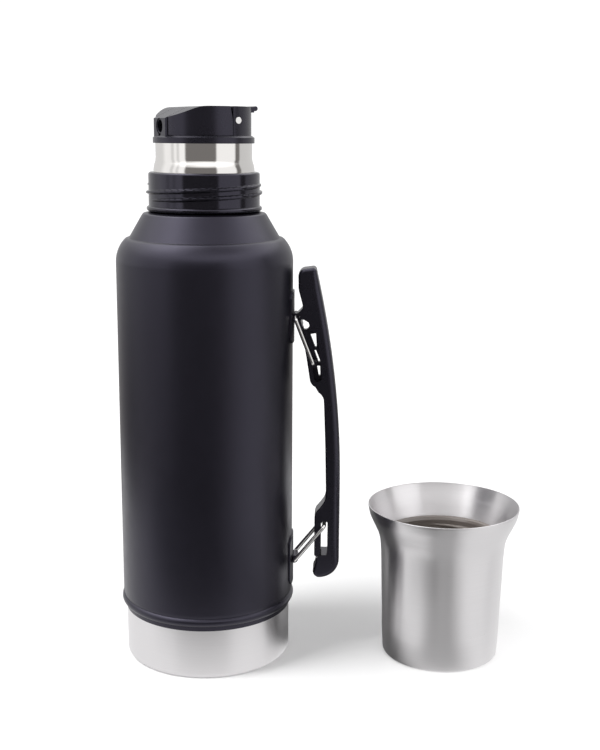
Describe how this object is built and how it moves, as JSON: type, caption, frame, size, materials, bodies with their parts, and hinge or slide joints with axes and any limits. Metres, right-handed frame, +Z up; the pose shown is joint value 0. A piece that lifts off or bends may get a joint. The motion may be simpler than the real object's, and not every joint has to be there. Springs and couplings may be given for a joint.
{
  "type": "vacuum growler",
  "caption": "Double-walled steel growler with a coated body, folding side handle, pour-through lever stopper and a screw-on steel lid cup standing beside it.",
  "frame": {"origin": "middle of the bottle's base, in the plane it stands on", "axes": "+Z up along the bottle's axis, +X towards the handle and the lid cup"},
  "size_m": [0.2502, 0.1088, 0.34],
  "materials": {
    "coating": "satin powder coat, nearly black with a faint violet cast",
    "brushed_steel": "brushed round the axis",
    "plain_steel": "plain drawn sheet",
    "polished_steel": "polished",
    "wire_steel": "bright drawn wire",
    "copper_foil": "thin copper foil",
    "braze": "solidified sealing glass",
    "black_rubber": "dull",
    "grey_rubber": "dull silicone",
    "satin_black": "moulded, satin",
    "gloss_black": "moulded, glossy",
    "dark_liner": "moulded, dark warm grey",
    "foam": "rigid foam"
  },
  "bodies": {
    "flask": {"outer_shell": "coating", "base_shell": "brushed_steel", "base_disc": "brushed_steel", "evacuation_plug": "braze", "getter": "plain_steel", "inner_vessel": "plain_steel", "radiation_shield": "copper_foil", "neck_sleeve": "polished_steel", "collar_gasket": "black_rubber", "thread_collar": "gloss_black", "upper_bracket": "coating", "lower_bracket": "coating"},
    "riser": {"mouth_gasket": "black_rubber"},
    "stopper": {"stopper_plug": "satin_black", "plug_insulation": "foam", "plug_seal": "grey_rubber", "valve_seat": "grey_rubber", "cap_housing": "satin_black", "channel_gasket": "black_rubber", "spout_nozzle": "satin_black", "lever_pin": "wire_steel", "stem_seal": "black_rubber", "valve_spring": "wire_steel"},
    "lever": {"lever_lid": "satin_black"},
    "valve": {"valve_stem": "wire_steel", "valve_disc": "grey_rubber"},
    "upper_link": {"upper_bail": "wire_steel"},
    "lower_link": {"lower_bail": "wire_steel"},
    "handle": {"carry_handle": "satin_black"},
    "cup": {"cup_shell": "brushed_steel", "cup_liner": "dark_liner"}
  },
  "joints": [
    {"name": "stopper_rise", "type": "slide", "parent": "flask", "child": "riser", "axis": [0, 0, 1], "range_m": [0, 0.00626]},
    {"name": "stopper_turn", "type": "hinge", "parent": "riser", "child": "stopper", "pos_m": [0, 0, 0.32], "axis": [0, 0, 1], "range_deg": [0, 450]},
    {"name": "lever_press", "type": "hinge", "parent": "stopper", "child": "lever", "pos_m": [0.00861, 0.00528, 0.3314], "axis": [-0.5225, 0.8526, 0], "range_deg": [0, 12], "stiffness_Nm_per_rad": 0.5, "springref_deg": -8.59},
    {"name": "valve_lift", "type": "slide", "parent": "stopper", "child": "valve", "axis": [0, 0, 1], "range_m": [0, 0.00258], "deforming": ["valve_spring"]},
    {"name": "upper_bail_swing", "type": "hinge", "parent": "flask", "child": "upper_link", "pos_m": [0.0552, 0, 0.2152], "axis": [0, -1, 0], "range_deg": [0, 30]},
    {"name": "handle_tilt", "type": "hinge", "parent": "upper_link", "child": "handle", "pos_m": [0.0663, 0, 0.1869], "axis": [0, 1, 0], "range_deg": [0, 33.6]},
    {"name": "lower_bail_swing", "type": "hinge", "parent": "flask", "child": "lower_link", "pos_m": [0.0552, 0, 0.0605], "axis": [0, 1, 0], "range_deg": [0, 15.1]},
    {"name": "cup_lift", "type": "slide", "parent": "flask", "child": "cup", "axis": [0, 0, 1], "range_m": [0, 0.3]}
  ],
  "couplings": [
    {"joint": "stopper_rise", "follows": "stopper_turn", "m_per_rad": 0.00079577},
    {"joint": "valve_lift", "follows": "lever_press", "m_per_rad": 0.0122},
    {"joint": "handle_tilt", "follows": "upper_bail_swing", "ratio": 1.1167},
    {"joint": "lower_bail_swing", "follows": "upper_bail_swing", "ratio": 0.5}
  ]
}
